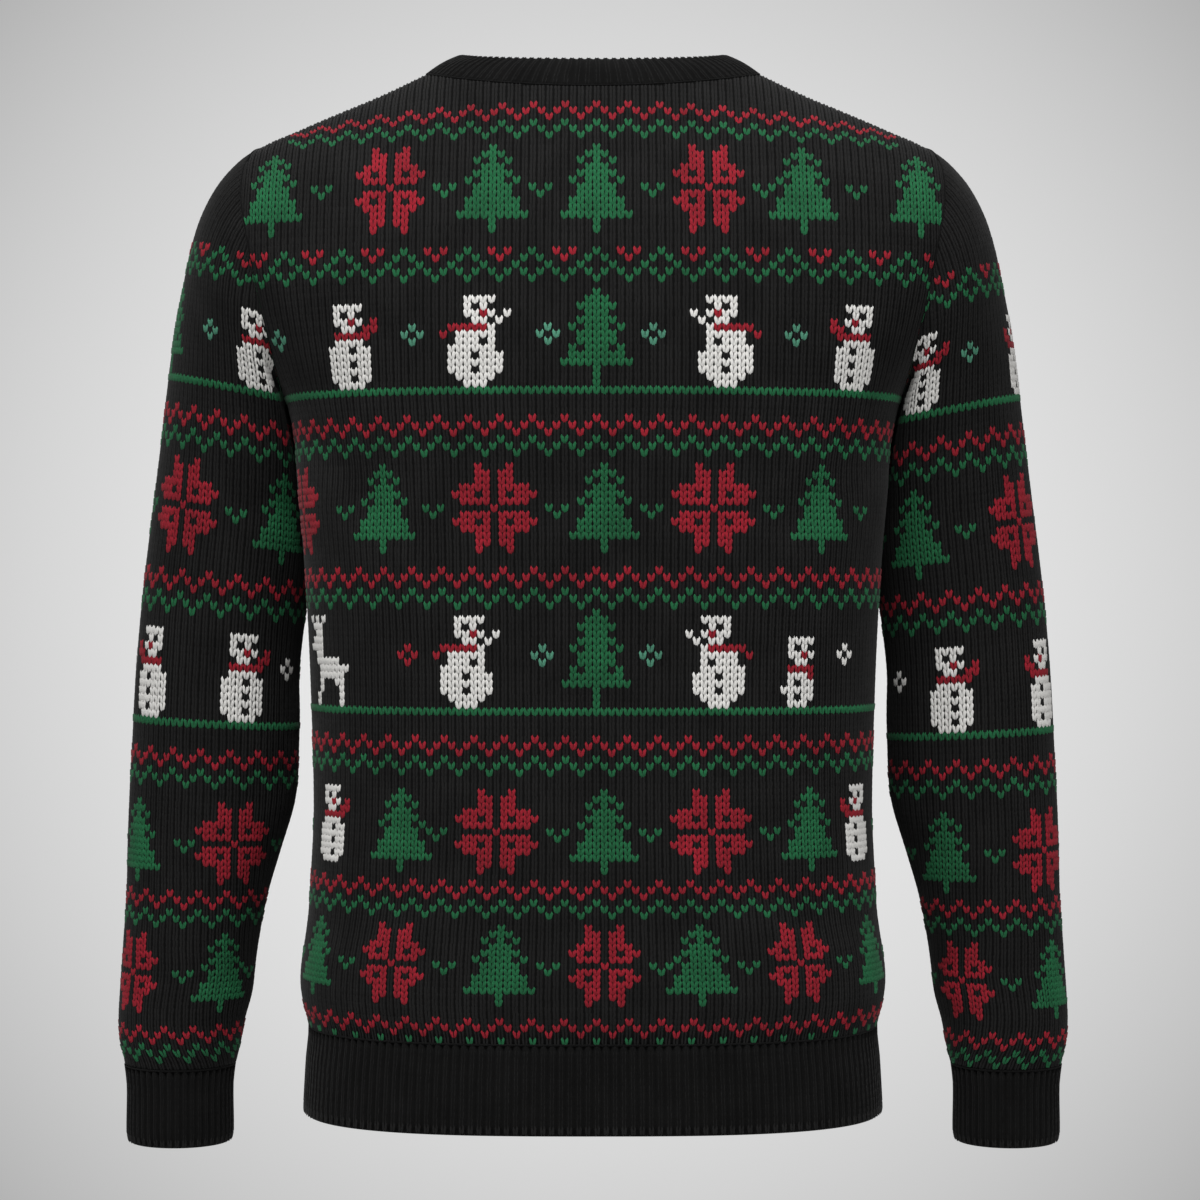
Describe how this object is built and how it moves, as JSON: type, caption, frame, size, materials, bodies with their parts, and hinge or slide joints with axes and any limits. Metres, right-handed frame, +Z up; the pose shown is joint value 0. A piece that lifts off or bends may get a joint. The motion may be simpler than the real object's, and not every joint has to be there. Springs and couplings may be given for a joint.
{
  "type": "christmas sweater",
  "caption": "Crew-neck jacquard knit pullover, filled out as worn but empty, with set-in sleeves and ribbed neck, hem and cuffs.",
  "frame": {"origin": "middle of the neck, level with the high points of the shoulders, where a wearer carries the garment", "axes": "+Z up to the neck, -Y out of the back, +Y out of the front, +X to the wearer's right"},
  "size_m": [0.6386, 0.2641, 0.7219],
  "materials": {
    "jacquard_knit": "matte wool knit, black with red, green, white and grey motifs",
    "rib_knit": "matte black wool in 1x1 rib"
  },
  "bodies": {
    "root": {"back_panel": "jacquard_knit", "front_panel": "jacquard_knit", "sleeve_left": "jacquard_knit", "sleeve_right": "jacquard_knit", "neck_rib": "rib_knit", "hem_rib": "rib_knit", "cuff_left": "rib_knit", "cuff_right": "rib_knit"}
  },
  "joints": []
}
